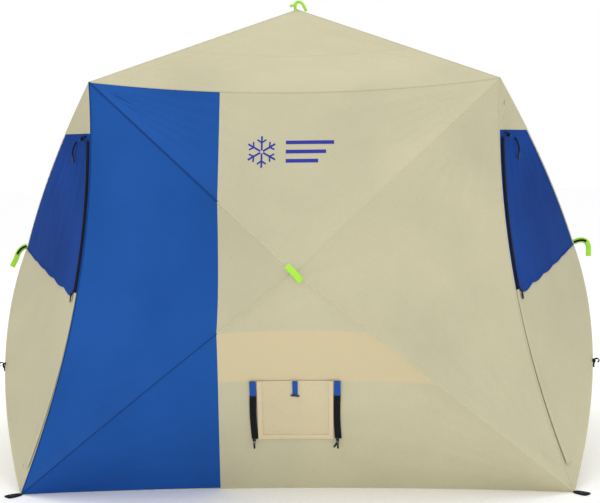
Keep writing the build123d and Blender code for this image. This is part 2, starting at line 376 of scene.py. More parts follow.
def noise_fac(tree, place, **inputs):
    return add_node(tree, "TexNoise", {"Vector": place, **inputs}).outputs["Fac"]


def bumped(tree, height, strength, distance, **normal):
    inputs = {"Height": height, "Strength": strength, "Distance": distance, **normal}
    return add_node(tree, "Bump", inputs).outputs["Normal"]


def ramp(tree, source, *stops):
    """Colour between two stops, each a place and a colour."""
    node = add_node(tree, "ValToRGB", {"Fac": source})
    for element, (place, colour) in zip(node.color_ramp.elements, stops):
        element.position = place
        element.color = (*colour, 1)
    return node.outputs["Color"]


def shade(colour, factor):
    return tuple(min(c * factor, 1.0) for c in colour)


def woven(name, colour, spread=0.06, thread=0.0016, bump=0.25, sheen=0.0, painted_shine=None, crease_depth=0.2):
    """Plain-weave cloth: threads both ways, slubs, soft large stains and creases in the bump."""
    mat, tree, bsdf = new_material(name)
    place = add_node(tree, "TexCoord", {}).outputs["Object"]
    stains = noise_fac(tree, place, Scale=2.2, Detail=5)
    tint = ramp(tree, stains, (0.32, shade(colour, 1 - spread)), (0.68, shade(colour, 1 + spread)))
    slubs = noise_fac(tree, place, Scale=260, Detail=2)
    grain = ramp(tree, slubs, (0.35, (0.80, 0.80, 0.80)), (0.65, (1.0, 1.0, 1.0)))
    colour_out = mixed(tree, 0.35, tint, grain, "MULTIPLY")
    # painted light shining through the cloth over an inner layer, between two heights
    if painted_shine:
        colour_out = add_painted_shine_through(tree, place, colour_out, *painted_shine)
    height = None
    for direction in ("X", "Z", "Y"):
        inputs = {"Vector": place, "Scale": 0.314 / thread, "Distortion": 0.6, "Detail Scale": 3}
        wave = add_node(tree, "TexWave", inputs, wave_type="BANDS", bands_direction=direction).outputs["Fac"]
        height = maths(tree, "MAXIMUM", height, wave) if height else wave
    crease = noise_fac(tree, place, Scale=9, Detail=6, Roughness=0.55)
    coarse = bumped(tree, crease, crease_depth, 0.012)
    connect(tree, bsdf, {
        "Base Color": colour_out, "Roughness": 0.85,
        "Normal": bumped(tree, height, bump, 0.0004, Normal=coarse),
        "Sheen Weight": sheen, "Sheen Roughness": 0.45, "Specular IOR Level": 0.08})
    return mat


def add_stitches(mat, thread):
    """Two rows of lockstitch on a seam strip, whose UV is its length in metres and -1 to 1 across it."""
    tree = mat.node_tree
    bsdf = tree.nodes["Principled BSDF"]
    colour, normal = (bsdf.inputs[key].links[0].from_socket for key in ("Base Color", "Normal"))
    uv = add_node(tree, "SeparateXYZ", {"Vector": add_node(tree, "UVMap", {}).outputs["UV"]}).outputs
    beat = maths(tree, "SINE", maths(tree, "MULTIPLY", uv["X"], 2 * math.pi / STITCH))
    dash = maths(tree, "GREATER_THAN", beat, -0.35)
    off = maths(tree, "ABSOLUTE", maths(tree, "SUBTRACT", maths(tree, "ABSOLUTE", uv["Y"]), 0.5))
    stitch = maths(tree, "MULTIPLY", dash, maths(tree, "LESS_THAN", off, 0.10))
    connect(tree, bsdf, {"Base Color": mixed(tree, stitch, colour, (*thread, 1)),
                         "Normal": bumped(tree, stitch, 0.6, 0.0006, Normal=normal)})


def add_painted_shine_through(tree, place, colour, low, high, warm, strength):
    """Warmer cloth between two heights: painted light that shines through the cloth where an inner layer lies
    behind it.
    """
    z = add_node(tree, "SeparateXYZ", {"Vector": place}).outputs["Z"]
    soft = 0.006
    steps = []
    for start, end in ((low - soft, low + soft), (high + soft, high - soft)):
        inputs = {"Value": z, "From Min": start, "From Max": end}
        steps.append(add_node(tree, "MapRange", inputs, interpolation_type="SMOOTHSTEP").outputs["Result"])
    share = maths(tree, "MULTIPLY", maths(tree, "MULTIPLY", *steps), strength)
    return mixed(tree, share, colour, (*warm, 1))


def hard(name, colour, rough, metal=0.0, scale=60, coat=0.0):
    """Moulded or metal surface with fine grain, worn patches and roughness that varies."""
    mat, tree, bsdf = new_material(name)
    wear = noise_fac(tree, add_node(tree, "TexCoord", {}).outputs["Object"], Scale=scale, Detail=8)
    inputs = {"Value": wear, "To Min": max(rough - 0.12, 0.05), "To Max": rough + 0.12}
    spread = add_node(tree, "MapRange", inputs)
    connect(tree, bsdf, {
        "Base Color": ramp(tree, wear, (0.3, shade(colour, 0.8)), (0.7, shade(colour, 1.25))),
        "Roughness": spread.outputs["Result"], "Normal": bumped(tree, wear, 0.05, 0.0005),
        "Metallic": metal, "Coat Weight": coat})
    return mat


BEIGE, BLUE = (0.548, 0.513, 0.352), (0.014, 0.086, 0.345)
SIDE_BLUE_PAINTED_SHADE = (0.007, 0.048, 0.25)   # the doors and the cloth beside them, darker in the photo: the blue cloth's colour darkened with painted shade
LIME, BLACK = (0.40, 0.80, 0.06), (0.012, 0.012, 0.014)
beige = woven("beige_cloth", BEIGE)
# the front bottom panel's beige, with painted light shining through over an inner layer from the vent's top
# up to 0.628 m
beige_painted_shine = woven("beige_cloth_painted_shine", BEIGE, painted_shine=(VENT_TOP, 0.628, (0.625, 0.525, 0.320), 0.8))
flap_cloth = woven("flap_cloth", (0.610, 0.530, 0.345))
hem_cloth = woven("hem_cloth", (0.660, 0.550, 0.360))
blue = woven("blue_cloth", BLUE, spread=0.10)
# crinkled bump; its darker colour is painted shade on the same blue cloth
blue_crinkled_painted_shade = woven("blue_cloth_crinkled_painted_shade", SIDE_BLUE_PAINTED_SHADE, spread=0.16, crease_depth=0.5)
seam_beige = woven("beige_seam", shade(BEIGE, 1.10), thread=0.003, bump=0.5)
seam_blue = woven("blue_seam", shade(BLUE, 0.62), thread=0.003, bump=0.5)
add_stitches(seam_beige, shade(BEIGE, 0.72))
add_stitches(seam_blue, shade(BLUE, 0.45))
lime = woven("lime_webbing", LIME, thread=0.004, bump=0.8, sheen=0.4)
black_web = woven("black_webbing", BLACK, thread=0.004, bump=0.8)
blue_web = woven("blue_webbing", (0.020, 0.080, 0.360), thread=0.004, bump=0.8)
zip_tape = woven("zip_tape", BLACK, thread=0.002, bump=0.6)
print_blue = woven("print_blue", (0.035, 0.045, 0.330), thread=0.002, bump=0.15)
black_plastic = hard("black_plastic", (0.015, 0.015, 0.017), 0.38)
black_metal = hard("black_metal", (0.030, 0.030, 0.033), 0.32, metal=0.8)
bright_metal = hard("bright_metal", (0.55, 0.54, 0.52), 0.28, metal=1.0, scale=140)
rod_glass = hard("rod_glass", (0.085, 0.085, 0.090), 0.25, scale=90, coat=0.4)
film, film_tree, film_bsdf = new_material("clear_film")
connect(film_tree, film_bsdf,
        {"Base Color": (0.80, 0.86, 0.90, 1), "Transmission Weight": 0.85, "Roughness": 0.12})


# Cloth of the walls and roof

def seam_strip(name, points, sideways, normal, material, width=0.010, height=0.0016):
    """Raised, rounded strip along points; sideways holds the two directions across it at each point."""
    profile = [(-1.0, -0.4), (-0.75, 0.75), (-0.2, 1.0), (0.2, 1.0), (0.75, 0.75), (1.0, -0.4)]
    verts = []
    for p, (left, right) in zip(points, sideways):
        for across, up in profile:
            side = left * -across if across < 0 else right * across
            verts.append(p + side * (width / 2) + normal * (up * height))
    rows = len(profile) - 1
    obj = add_mesh(name, verts, grid_faces(len(points) - 1, rows), material)
    lengths = distances(points)
    layer = obj.data.uv_layers.new(name="UVMap")
    for loop in obj.data.loops:
        station, place = divmod(loop.vertex_index, len(profile))
        layer.data[loop.index].uv = (lengths[station], profile[place][0])
    return obj


def rod_seam(name, first, second, t_first, t_second, side, material, part=(0.0, 1.0)):
    """Seam over a rod, where one end of each panel lies: t is 0 or 1 there."""
    reach = 0.02
    places = spaced(part[0], part[1], 90)
    points = [cloth_point(first, t_first, s) for s in places]
    sides = []
    for s in places:
        s = min(s, 0.995)
        here = cloth_point(first, t_first, s)
        pair = [unit(cloth_point(first, abs(t_first - reach), s) - here),
                unit(cloth_point(second, abs(t_second - reach), s) - here)]
        sides.append(turned(pair, side))
    obj = seam_strip(name, turned(points, side), sides, turn_point(first.normal, side), material)
    thicken(obj, 0.0008)
    follow_hub(obj, first, first.hub - cloth_point(first, t_first, 0.0))


def edge_ribbon(name, points, outward, side, material, slot, width, thickness):
    """Rounded binding along a free edge, on points that all face one way."""
    circle = [2 * math.pi * k / 10 for k in range(10)]
    profile = [(math.cos(a) * width / 2, math.sin(a) * thickness) for a in circle]
    obj = sweep(name, turned(points, side), turn_point(outward, side), profile, material)
    belong(obj, "canopy", slot)


def blue_seam_x(z):
    """Where the blue cloth ends on the front wall at a height."""
    share = (EAVE_Z - z) / (EAVE_Z - HUB_Z) if z > HUB_Z else z / HUB_Z
    return BLUE_X + (BLUE_MID - BLUE_X) * share


def seam_crossing(level):
    """Where the blue cloth's seam crosses the rod that runs to the upper or lower corner."""
    corner = wall_corner(-1, level)
    x = BLUE_MID
    for _ in range(8):
        z = HUB_Z + (corner[2] - HUB_Z) * x / corner[0]
        x = blue_seam_x(z)
    return x, z


def front_pieces():
    """The front wall: four panels, cut where blue and beige cloth are sewn together."""
    upper, lower = seam_crossing(1), seam_crossing(0)
    lines = {"top": (upper, (BLUE_X, EAVE_Z)), "left": (lower, upper), "bottom": ((BLUE_X, 0.0), lower),
             "right": (lower, upper)}
    half_x, low, high = VENT_OPENING
    hole = [((s * half_x, 0, 0), (1, 0, 0)) for s in (-1, 1)] + [((0, 0, z), (0, 0, 1)) for z in (low, high)]
    for number, (name, ((x0, z0), (x1, z1))) in enumerate(lines.items()):
        panel = PANELS[name]
        point, across = Vector((x0, 0, z0)), Vector((z1 - z0, 0, x0 - x1))
        for colour in ("blue", "beige"):
            if (name, colour) == ("right", "blue"):
                continue
            # the bottom panel's beige carries painted light shining through over an inner layer
            mat = blue if colour == "blue" else beige_painted_shine if name == "bottom" else beige
            obj = panel_mesh(f"front_{name}_{colour}", panel, mat, 110 if name == "top" else 90, 64, number)
            cut(obj, [(point, across)] + (hole if name == "bottom" and colour == "beige" else []))
            if colour == "blue":
                keep_faces(obj, lambda c: (c - point).dot(across) < 0)
            else:
                keep_faces(obj, lambda c: (c - point).dot(across) > 0 and not (
                    name == "bottom" and abs(c.x) < half_x and low < c.z < high))
            nodes = [f"front_wall_{colour}"] if name in ("top", "bottom") else []
            finish_sheet(obj, "front", panel, f"{colour}_cloth", nodes)


def plain_walls():
    for number, (side, names) in enumerate((
        ("back", ("top", "bottom", "left", "right")),
        ("left", ("top", "bottom", "left")),
        ("right", ("top", "bottom", "right")),
    )):
        for name in names:
            obj = panel_mesh(f"{side}_{name}", PANELS[name], beige, 72, 48, 4 * number + len(name))
            nodes = [f"{side}_wall_fabric"] if side == "back" or name in ("top", "bottom") else []
            finish_sheet(obj, side, PANELS[name], "beige_cloth", nodes)


def roof():
    for number, side in enumerate(TURN):
        obj = panel_mesh(f"roof_{side}", PANELS["roof"], beige, 96, 48, ROOF_SEED + number)
        finish_sheet(obj, side, PANELS["roof"], "beige_cloth", ["roof_fabric"])


def door_top(v):
    share = (v - DOOR_V[0]) / (DOOR_V[1] - DOOR_V[0])
    return DOOR_TOP + (DOOR_TOP_INNER - DOOR_TOP) * min(max(share, 0.0), 1.3)


def door_block(name, panel, material, t_low, t_high, v, columns, rows, seed, gap=0.0):
    """Part of a side wall's front panel between two lines of t, which may change with v."""
    points = []
    for a in spaced(0, 1, columns):
        for b in spaced(v[0] + gap, v[1] - gap, rows):
            low, high = t_low(b) + gap, t_high(b) - gap
            points.append(cloth(panel, low + (high - low) * a, b, seed))
    return add_mesh(name, points, grid_faces(columns, rows), material)


def joined(name, objects):
    base, *others = objects
    with editing(base.data) as bm:
        for obj in others:
            bm.from_mesh(obj.data)
        bmesh.ops.remove_doubles(bm, verts=bm.verts[:], dist=1e-5)
    for obj in others:
        bpy.data.objects.remove(obj)
    base.name = name
    return base


def door_side(side, name):
    """A side wall's front panel: a beige band, blue cloth, beige cloth below and the zipped door."""
    panel = PANELS[name]
    seed = 31 if side == "left" else 37
    low, seam = (lambda v: 0.0), (lambda v: DOOR_SEAM_T)
    foot, full = (lambda v: DOOR_T), (lambda v: 1.0)
    edge, middle, inner = (0.0, DOOR_V[0]), DOOR_V, (DOOR_V[1], 1.0)

    def around(name, mat, ends, ends_at_door, columns, columns_at_door):
        """Cloth between two lines of t, with other lines where the door is."""
        blocks = ((*ends, edge, columns, 3), (*ends_at_door, middle, columns_at_door, 26),
                  (*ends, inner, columns, 26))
        return joined(name, [door_block(name, panel, mat, *block, seed) for block in blocks])

    lower = around(f"{side}_front_lower", beige, (low, seam), (low, foot), 44, 5)
    finish_sheet(lower, side, panel, "beige_cloth", [f"{side}_wall_fabric"])
    # blue cloth beside the door, darkened with painted shade
    upper = around(f"{side}_front_blue", blue_crinkled_painted_shade, (seam, full), (door_top, full), 48, 8)
    cut(upper, [((0, 0, BAND_Z), (0, 0, 1))])
    band = upper.copy()
    band.data = upper.data.copy()
    band.data.materials.clear()
    band.data.materials.append(beige)
    band.name = f"{side}_front_band"
    bpy.context.scene.collection.objects.link(band)
    keep_faces(upper, lambda c: c.z < BAND_Z)
    keep_faces(band, lambda c: c.z > BAND_Z)
    finish_sheet(upper, side, panel, "blue_cloth")
    finish_sheet(band, side, panel, "beige_cloth")
    gap = DOOR_GAP / 2
    for part, mat, t_low, t_high, slot in (
        ("lower", beige, foot, seam, "beige_cloth"),
        # the door's blue cloth, darkened with painted shade
        ("upper", blue_crinkled_painted_shade, seam, door_top, "blue_cloth"),
    ):
        obj = door_block(f"{side}_door_{part}_cloth", panel, mat, t_low, t_high, middle, 40, 26, seed, gap)
        finish_sheet(obj, side, panel, slot, [f"{side}_door_{part}"], f"{side}_door")
    for part, v, body in (("door", middle, f"{side}_door"), ("wall", (DOOR_V[1], 0.985), None)):
        blue_lip(f"{side}_{part}_lip", side, panel, v, body, seed)
    door_zip(side, panel)
    door_ties(side, panel)


def blue_lip(name, side, panel, v, body, seed):
    """Loose lower edge of the blue cloth, which hangs a little over the beige in shallow scallops."""
    columns, rows, points = 4, 60, []
    for a in spaced(0, 1, columns):
        for b in spaced(*v, rows):
            hang = (0.010 + 0.007 * abs(math.sin(b * 19 + seed))) * smooth((1 - b) / 0.1)
            t = DOOR_SEAM_T + 0.002 - (hang + 0.002) * a
            points.append(cloth(panel, t, b, seed) + NORMAL * (0.0008 + 0.004 * a))
    # the blue lip, darkened with painted shade
    obj = add_mesh(name, points, grid_faces(columns, rows), blue_crinkled_painted_shade)
    finish_sheet(obj, side, panel, "blue_cloth", body=body)


def coil(name, points, up, radius, pitch, material):
    """Zip teeth: a fine helix along points."""
    lengths = distances(points)
    steps = int(lengths[-1] / pitch) * 6
    curve = bpy.data.curves.new(name, "CURVE")
    curve.dimensions = "3D"
    spline = curve.splines.new("POLY")
    spline.points.add(steps)
    line, up = np.array(points), unit(up)

    def on_line(s):
        return np.array([np.interp(s, lengths, line[:, k]) for k in range(3)])

    for i in range(steps + 1):
        s = lengths[-1] * i / steps
        across = unit(np.cross(unit(on_line(s + pitch) - on_line(s - pitch)), up))
        a = 2 * math.pi * i / 6
        place = on_line(s) + across * math.cos(a) * radius * 1.5 + up * math.sin(a) * radius
        spline.points[i].co = (*place, 1)
    curve.bevel_depth = radius * 0.42
    curve.bevel_resolution = 1
    obj = bpy.data.objects.new(name, curve)
    bpy.context.scene.collection.objects.link(obj)
    deps = bpy.context.evaluated_depsgraph_get()
    mesh = bpy.data.meshes.new_from_object(obj.evaluated_get(deps))
    bpy.data.objects.remove(obj)
    mesh.materials.clear()
    return add_object(name, mesh, material)


def zip_along(name, points, normal, across, width, node):
    """Zip: two tapes with a raised welt and a coil of teeth between them."""
    half = [(-1.0, 0.0), (-0.95, 0.0012), (-0.40, 0.0016), (-0.28, 0.0030), (-0.12, 0.0012)]
    profile = half + [(0, 0.0008)] + [(-x, up) for x, up in half[::-1]]
    verts = [p + across * (x * width / 2) + normal * up for p in points for x, up in profile]
    tape = add_mesh(f"{name}_tape", verts, grid_faces(len(points) - 1, len(profile) - 1), zip_tape)
    thicken(tape, 0.0008)
    teeth = coil(f"{name}_teeth", [p + normal * 0.0024 for p in points], normal, 0.0016, 0.0030, black_metal)
    belong(tape, "canopy", "black_zip", node)
    belong(teeth, "canopy", "black_zip")


def door_zip(side, panel):
    """Zip along the door's front edge: bare beside the blue cloth, under a beige placket below it."""
    away = turn_point(unit(cloth_point(panel, 0.5, 0.2) - cloth_point(panel, 0.5, 0.0)), side)
    out = turn_point(NORMAL, side)

    def edge(low, high, lift):
        points = [cloth_point(panel, t, DOOR_ZIP_V) + NORMAL * lift for t in spaced(low, high, 40)]
        return turned(points, side)

    points = edge(DOOR_SEAM_T, DOOR_TOP, 0.004)
    zip_along(f"{side}_door_zip_tape", points, out, away, 0.022, f"{side}_door_zip")
    points = edge(DOOR_T, DOOR_SEAM_T, 0.003)
    sideways = [(-away, away)] * len(points)
    placket = seam_strip(f"{side}_door_placket", points, sideways, out, beige, 0.034, 0.0035)
    thicken(placket, 0.001)
    belong(placket, "canopy", "beige_cloth")
    first, last = (cloth_point(panel, t, DOOR_ZIP_V) for t in DOOR_SLIDER_T)
    origin, along = turned([first + NORMAL * 0.009, unit(last - first)], side)
    slider(f"{side}_door_slider_pull", origin, along, out, 1.3, f"{side}_door_slider", (-12, 14))


def rounded_plate(width, height, depth, corner):
    """Closed plate with rounded corners in local X and Z, thick along Y."""
    bm = bmesh.new()
    outline, segments = [], 6
    for cx, cz, start in ((1, 1, 0), (-1, 1, 90), (-1, -1, 180), (1, -1, 270)):
        for k in range(segments + 1):
            a = math.radians(start + 90 * k / segments)
            outline.append(((cx * (width / 2 - corner)) + corner * math.cos(a),
                            (cz * (height / 2 - corner)) + corner * math.sin(a)))
    front = [bm.verts.new((x, -depth / 2, z)) for x, z in outline]
    back = [bm.verts.new((x, depth / 2, z)) for x, z in outline]
    n = len(outline)
    bm.faces.new(front)
    bm.faces.new(back[::-1])
    for i in range(n):
        bm.faces.new((front[i], back[i], back[(i + 1) % n], front[(i + 1) % n]))
    rim = [e for e in bm.edges if len(e.link_faces) == 2 and any(len(f.verts) > 4 for f in e.link_faces)]
    bmesh.ops.bevel(bm, geom=rim, offset=min(depth * 0.3, corner * 0.6), segments=2, affect="EDGES")
    bmesh.ops.recalc_face_normals(bm, faces=bm.faces[:])
    return bm


def torus_into(bm, centre, radius, tube, axis="Y", ring=20, around=8):
    verts = []
    for i in range(ring):
        a = 2 * math.pi * i / ring
        for k in range(around):
            b = 2 * math.pi * k / around
            r = radius + tube * math.cos(b)
            x, y, z = r * math.cos(a), tube * math.sin(b), r * math.sin(a)
            p = (x, y, z) if axis == "Y" else (y, x, z)
            verts.append(bm.verts.new((p[0] + centre[0], p[1] + centre[1], p[2] + centre[2])))
    for i in range(ring):
        for k in range(around):
            a, b = i * around + k, i * around + (k + 1) % around
            c, d = ((i + 1) % ring) * around + (k + 1) % around, ((i + 1) % ring) * around + k
            bm.faces.new((verts[a], verts[b], verts[c], verts[d]))


def placed(bm, name, origin, up, out, material):
    """Object from a bmesh whose Z goes along up and whose -Y faces out."""
    z = Vector(up).normalized()
    y = -(Vector(out) - z * Vector(out).dot(z)).normalized()
    turn = Matrix((y.cross(z), y, z)).transposed().to_4x4()
    bm.transform(Matrix.Translation(Vector(origin)) @ turn)
    return from_bmesh(bm, name, material)


def slider(name, origin, up, out, scale, node, pulls):
    """Zip slider: a waisted body with a bridge and, for each angle, a ring with a long puller."""
    bm = rounded_plate(0.010 * scale, 0.013 * scale, 0.0045 * scale, 0.003 * scale)
    torus_into(bm, (0, -0.0035 * scale, -0.001 * scale), 0.0030 * scale, 0.0009 * scale, "X")
    for number, angle in enumerate(pulls):
        part = rounded_plate(0.0062 * scale, 0.022 * scale, 0.0020 * scale, 0.0028 * scale)
        for v in part.verts:
            v.co += Vector((0, -0.0042 * scale, -0.0130 * scale))
        torus_into(part, (0, -0.0040 * scale, 0), 0.0036 * scale, 0.0010 * scale)
        hang = Matrix.Translation((0, -0.0022 * number * scale, -0.0075 * scale))
        part.transform(hang @ Matrix.Rotation(math.radians(angle), 4, "Y"))
        mesh = bpy.data.meshes.new("pull")
        part.to_mesh(mesh)
        part.free()
        bm.from_mesh(mesh)
        bpy.data.meshes.remove(mesh)
    belong(placed(bm, name, origin, up, out, black_metal), f"{node}_body", "zip_metal", node)


def strap_mesh(name, points, across, width, thickness, material, sub=1):
    """Flat webbing along points, with its width along across, rounded at its edges."""
    half = [(-0.35, -1), (-1, -0.94), (-1.12, 0), (-1, 0.94), (-0.35, 1)]
    outline = half + [(-z, -x) for z, x in half]
    profile = [(z * thickness / 2, x * width / 2) for z, x in outline]
    obj = sweep(name, points, across, profile, material)
    modifier = obj.modifiers.new("smooth", "SUBSURF")
    modifier.levels = sub
    modifier.render_levels = sub
    return apply_modifiers(obj)


def curve_points(controls, count):
    """Smooth line through control points, by Catmull-Rom."""
    p = [arr(*c) for c in controls]
    p = [p[0] * 2 - p[1]] + p + [p[-1] * 2 - p[-2]]
    out = []
    for i in range(1, len(p) - 2):
        for k in range(count):
            t = k / count
            out.append(0.5 * (2 * p[i] + (p[i + 1] - p[i - 1]) * t
                              + (2 * p[i - 1] - 5 * p[i] + 4 * p[i + 1] - p[i + 2]) * t * t
                              + (3 * p[i] - p[i - 1] - 3 * p[i + 1] + p[i + 2]) * t ** 3))
    out.append(p[-2])
    return out


def door_ties(side, panel):
    """Toggle and hanging cord under the band, which hold the rolled door."""
    towards = arr(1 if panel is PANELS["left"] else -1, 0, 0)
    ties = ((0.880, 0.045, 0.012, 0.012), (0.905, 0.150, 0.070, 0.006))
    for number, (t, v, drop, width) in enumerate(ties):
        start = cloth_point(panel, t, v) + NORMAL * 0.004
        down = unit(cloth_point(panel, t - 0.05, v) - cloth_point(panel, t, v))
        controls = [start + NORMAL * lift + down * drop * share + towards * aside for lift, share, aside in (
            (0.000, 0.00, 0.000), (0.008, 0.25, 0.000), (0.016, 0.60, 0.006), (0.017, 1.00, 0.016))]
        points = turned(curve_points(controls, 6), side)
        level = turn_point(arr(1, 0, 0), side)
        strap = strap_mesh(f"{side}_door_tie_{number}", points, level, width, 0.005, black_web, 2)
        belong(strap, "canopy", "black_webbing")
        end = turn_point(controls[-1] + down * 0.003, side)
        lean = towards * 0.5 + down if number else towards + arr(0, 0.4, 0.2)
        toggle(f"{side}_door_toggle_{number}", end, turn_point(unit(lean), side), 0.030, "canopy")


def toggle(name, centre, along, length, body, *nodes):
    """Moulded toggle: a waisted bar with domed ends and a groove for its cord."""
    along = unit(along)
    side = unit(np.cross(along, UP))
    up = np.cross(side, along)
    ring, stations, verts = 14, 25, []
    for i in range(stations):
        s = -1 + 2 * i / (stations - 1)
        dome = math.sqrt(max(1 - abs(s) ** 6, 0.0))
        groove = 1 - 0.28 * math.exp(-(s / 0.10) ** 2)
        radius = 0.0042 * (0.85 + 0.20 * s * s) * dome * groove + 0.0001
        middle = centre + along * (s * length / 2)
        for k in range(ring):
            a = 2 * math.pi * k / ring
            verts.append(middle + side * math.cos(a) * radius + up * math.sin(a) * radius)
    belong(add_mesh(name, verts, tube_faces(stations, ring), black_plastic), body, "black_plastic", *nodes)


# Vent

def on_front(name, x, z):
    """Panel of the front wall, and its t and v at a given X and height."""
    panel = PANELS[name]
    foot, rise = panel.start[2], HUB_Z - panel.start[2]
    v = (z - foot) / rise
    for _ in range(14):
        t = 0.5 - x / (2 * panel.start[0] * (1 - v))
        v += (z - cloth_point(panel, t, v)[2]) / rise
    return panel, t, v


def lower_front(x, z, out):
    """Point in front of the front wall's bottom panel."""
    return cloth_point(*on_front("bottom", x, z)) + arr(0, -out, 0)


def vent_patch(name, xs, zs, out, material, columns, rows, puff=0.0):
    """Rectangle of cloth before the front wall, which may stand off in its middle."""
    verts = []
    for a in spaced(0, 1, columns):
        for b in spaced(0, 1, rows):
            x, z = xs[0] + (xs[1] - xs[0]) * a, zs[0] + (zs[1] - zs[0]) * b
            inside = 0 < a < 1 and 0 < b < 1
            lift = puff * (math.sin(math.pi * a) * math.sin(math.pi * b)) ** 0.6 if inside else 0
            crease = 0.0012 * noise.noise(Vector((x * 18 + z * 9, z * 16 - x * 6, 3.0))) if puff else 0
            verts.append(lower_front(x, z, out + lift + crease))
    return add_mesh(name, verts, grid_faces(columns, rows), material)


def vent_strap(name, x, zs, out, width, body, node):
    points = [lower_front(x, z, out) for z in spaced(*zs, 8)]
    belong(strap_mesh(name, points, arr(1, 0, 0), width, 0.0024, blue_web), body, "blue_webbing", node)


def vent():
    """Hemmed flap over a clear film, between two zips that end in webbing tabs."""
    half, low, high, lift, hem = VENT_HALF, VENT_LOW, VENT_TOP, VENT_OUT * 0.6, 0.017
    flap = vent_patch("vent_flap_cloth", (-half, half), (low, high), lift, flap_cloth, 48, 36, 0.004)
    finish_sheet(flap, "front", PANELS["bottom"], "beige_cloth", ["vent_flap"], "vent_flap_body")
    for name, xs, zs in (
        ("left", (-half, -half + hem), (low, high)),
        ("right", (half - hem, half), (low, high)),
        ("bottom", (-half + hem, half - hem), (low, low + hem)),
    ):
        strip = vent_patch(f"vent_hem_{name}", xs, zs, lift + 0.0032, hem_cloth, 24, 24, 0.0012)
        facing_out(strip)
        thicken(strip, 0.0016)
        belong(strip, "vent_flap_body", "beige_cloth")
    opening, sill, head = VENT_OPENING
    lap = 0.012
    wide, sill, head = opening + lap, sill - lap, head + lap
    window = vent_patch("vent_window_film", (-wide, wide), (sill, head), -0.008, film, 16, 12)
    facing_out(window)
    declare_sheet(window)
    thicken(window, 0.0008)
    belong(window, "canopy", "clear_film", "vent_window")
    for name, s, pulls in (("left", -1, (0,)), ("right", 1, (30, -4))):
        points = [lower_front(s * ZIP_X + 0.003 * (1 - k) - 0.003 * math.sin(math.pi * k), z, 0.006)
                  for k, z in zip(spaced(0, 1, 24), spaced(low + 0.002, TAB_Z, 24))]
        zip_along(f"vent_zip_{name}", points, arr(0, -1, 0), arr(1, 0, 0), 0.023, "vent_zips")
        vent_strap(f"vent_tab_{name}", s * ZIP_X, (TAB_Z - 0.004, high), 0.009, 0.023, "canopy",
                   "vent_webbing_tabs")
        foot, top = (lower_front(s * ZIP_X, z, 0.013) for z in (low, TAB_Z))
        node = f"vent_slider_{name}"
        slider(f"{node}_pull", foot, unit(top - foot), arr(0, -1, 0), 1.15, node, pulls)
    vent_strap("vent_toggle_band", 0, (TAB_Z, high - 0.001), VENT_OUT + 0.003, 0.019, "vent_flap_body",
               "vent_toggle_strap")
    bar_at = lower_front(0, TAB_Z - 0.004, VENT_OUT + 0.006)
    toggle("vent_toggle_bar", bar_at, arr(1, 0, -0.10), 0.033, "vent_flap_body", "vent_toggle")


# Pull straps and trim

def pull_straps():
    """Webbing tabs on the hubs, each hanging as it fell, in wall X, up the wall and out of it."""
    level = arr(1, 0, 0)
    up = np.cross(NORMAL, level)
    routes = {
        "front": ((-0.021, 0.024, 0.001), (-0.014, 0.015, 0.020), (0.004, -0.004, 0.028),
                  (0.020, -0.022, 0.020), (0.026, -0.030, 0.010)),
        "back": ((0, 0.012, 0.001), (0.002, 0.010, 0.022), (0.006, -0.012, 0.034), (0.010, -0.046, 0.028),
                 (0.012, -0.066, 0.022)),
        "left": ((0, 0.008, 0.002), (0, -0.002, 0.020), (0, -0.026, 0.036), (0, -0.058, 0.044),
                 (0, -0.092, 0.056)),
        "right": ((0, 0.006, 0.002), (0, 0.010, 0.028), (0, 0.004, 0.052), (0, -0.020, 0.064),
                  (0, -0.066, 0.058)),
    }
    for side, route in routes.items():
        controls = [HUB + level * a + up * b + NORMAL * c for a, b, c in route]
        points = turned(curve_points(controls, 8), side)
        at_side = side in ("left", "right")
        flat = NORMAL + up * 0.6 if at_side else level + up * (1.0 if side == "front" else 0.1)
        across, body = turn_point(unit(flat), side), f"{side}_hub_body"
        tab = strap_mesh(f"{side}_pull_tab", points, across, 0.023, 0.006, lime)
        belong(tab, body, "lime_webbing", f"{side}_pull_strap")
        if at_side:
            aside = turn_point(arr(0.010, 0, 0), side) * (1 if side == "left" else -1)
            lead = [p + aside for p in points[:len(points) * 3 // 5]]
            cord = strap_mesh(f"{side}_pull_cord", lead, across, 0.009, 0.007, black_web)
            belong(cord, body, "black_webbing")
    ring = [(-0.006, 0.0, -0.004), (-0.008, 0.002, 0.016), (-0.002, 0.002, 0.031), (0.012, 0.000, 0.033),
            (0.026, -0.004, 0.022), (0.040, -0.008, -0.006)]
    end = [(-0.006, -0.003, 0.010), (-0.016, -0.006, 0.018), (-0.028, -0.010, 0.014)]
    for name, route, width, depth, nodes in (
        ("loop", ring, 0.016, 0.012, ["roof_pull_strap"]),
        ("tail", end, 0.014, 0.010, []),
    ):
        points = curve_points([ROOF_HUB + arr(*p) for p in route], 8)
        strap = strap_mesh(f"roof_pull_{name}", points, arr(0, 1, 0), width, depth, lime)
        belong(strap, "roof_hub_body", "lime_webbing", *nodes)


